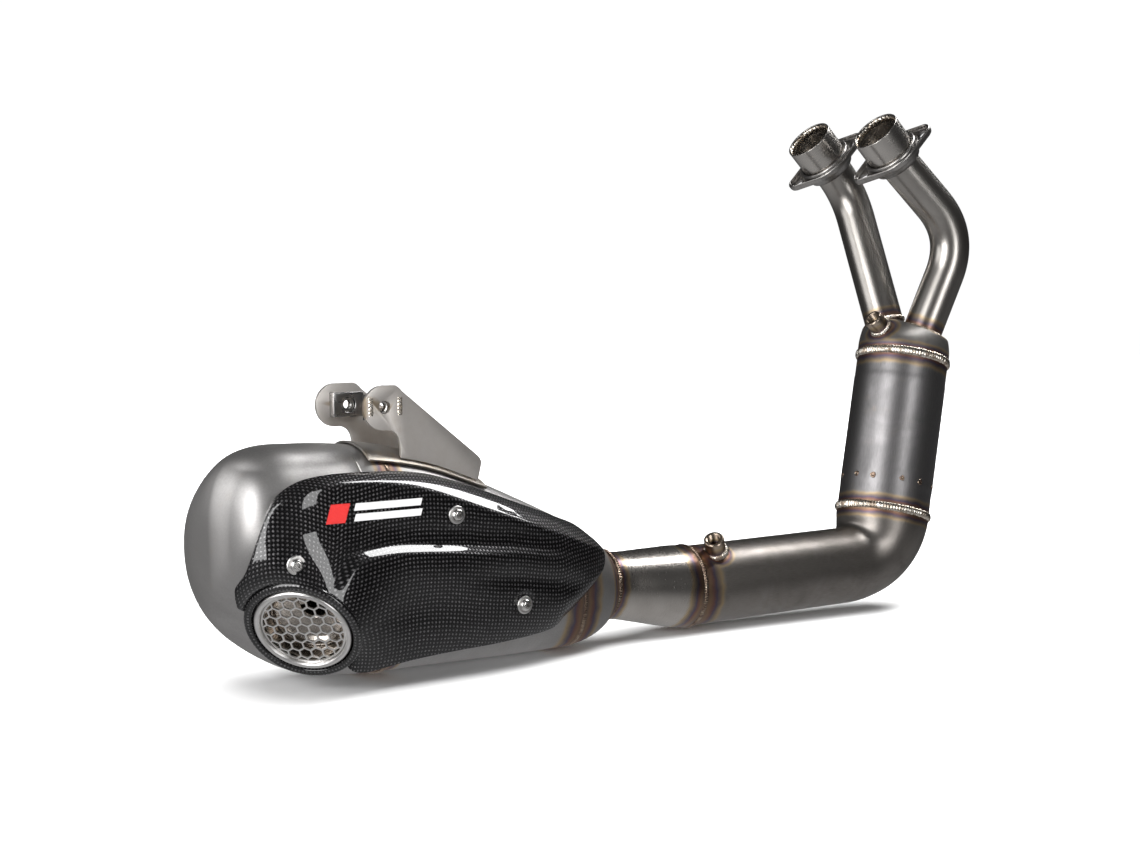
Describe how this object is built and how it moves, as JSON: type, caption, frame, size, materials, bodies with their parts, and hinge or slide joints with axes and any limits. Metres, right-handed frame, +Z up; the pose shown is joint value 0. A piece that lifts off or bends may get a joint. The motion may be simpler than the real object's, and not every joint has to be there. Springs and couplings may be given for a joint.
{
  "type": "motorcycle racing exhaust system",
  "caption": "Full racing exhaust for a parallel-twin motorcycle: twin headers, catalyst can, link pipe and low muffler with a carbon heat shield.",
  "frame": {"origin": "on the floor, under the middle of the bounding box", "axes": "+X towards the front of the bike (header end), +Y to its left, +Z up"},
  "size_m": [0.7898, 0.1838, 0.4759],
  "materials": {
    "header_steel": "brushed stainless, heat-browned in places",
    "polished_steel": "polished stainless",
    "brushed_steel": "satin stainless",
    "weld": "rippled weld bead, straw and brown heat tint",
    "bracket_steel": "bead-blasted stainless plate",
    "bright_steel": "bright machined stainless",
    "substrate": "coated metal honeycomb",
    "carbon": "clear-coated carbon fibre, plain weave"
  },
  "bodies": {
    "exhaust": {"header_tube_right": "header_steel", "port_spigot_right": "polished_steel", "header_tube_left": "header_steel", "port_spigot_left": "polished_steel", "collector_cap": "brushed_steel", "sensor_bung_upper": "bright_steel", "catalyst_can": "brushed_steel", "can_weld_upper": "weld", "can_weld_lower": "weld", "catalyst_mantle": "brushed_steel", "catalyst_core": "substrate", "link_pipe": "brushed_steel", "sensor_bung_lower": "bright_steel", "inlet_cone": "polished_steel", "link_weld": "weld", "neck_weld": "weld", "muffler_front_cap": "brushed_steel", "muffler_middle_shell": "brushed_steel", "muffler_rear_shell": "brushed_steel", "muffler_weld_front": "weld", "muffler_weld_middle": "weld", "inlet_tube": "header_steel", "crossover_tube": "header_steel", "baffle_front": "brushed_steel", "baffle_rear": "brushed_steel", "outlet_bezel": "bright_steel", "outlet_grille": "bright_steel", "outlet_sleeve": "polished_steel", "outlet_insert": "bright_steel", "insert_bolt": "bright_steel", "shield_washer_rear": "bright_steel", "shield_bolt_rear": "bright_steel", "shield_boss_rear": "brushed_steel", "shield_washer_upper": "bright_steel", "shield_bolt_upper": "bright_steel", "shield_boss_upper": "brushed_steel", "shield_washer_lower": "bright_steel", "shield_bolt_lower": "bright_steel", "shield_boss_lower": "brushed_steel", "heat_shield": "carbon", "hanger_saddle": "bracket_steel", "hanger_web": "bracket_steel", "hanger_plate_near": "bracket_steel", "nut_cage_near": "bright_steel", "hanger_plate_far": "bracket_steel", "nut_cage_far": "bright_steel"},
    "flange_right": {"port_flange_right": "brushed_steel"},
    "flange_left": {"port_flange_left": "brushed_steel"},
    "nut_near": {"captive_nut_near": "bright_steel"},
    "nut_far": {"captive_nut_far": "bright_steel"}
  },
  "joints": [
    {"name": "flange_turn_right", "type": "hinge", "parent": "exhaust", "child": "flange_right", "pos_m": [0.31345, -0.03204, 0.43445], "axis": [-0.7269, 0.032, 0.6859], "continuous": true},
    {"name": "flange_turn_left", "type": "hinge", "parent": "exhaust", "child": "flange_left", "pos_m": [0.31445, 0.06016, 0.43405], "axis": [-0.7269, 0.032, 0.6859], "continuous": true},
    {"name": "nut_float_near", "type": "slide", "parent": "exhaust", "child": "nut_near", "axis": [1, 0, 0], "range_m": [-0.003, 0.003]},
    {"name": "nut_float_far", "type": "slide", "parent": "exhaust", "child": "nut_far", "axis": [1, 0, 0], "range_m": [-0.003, 0.003]}
  ]
}
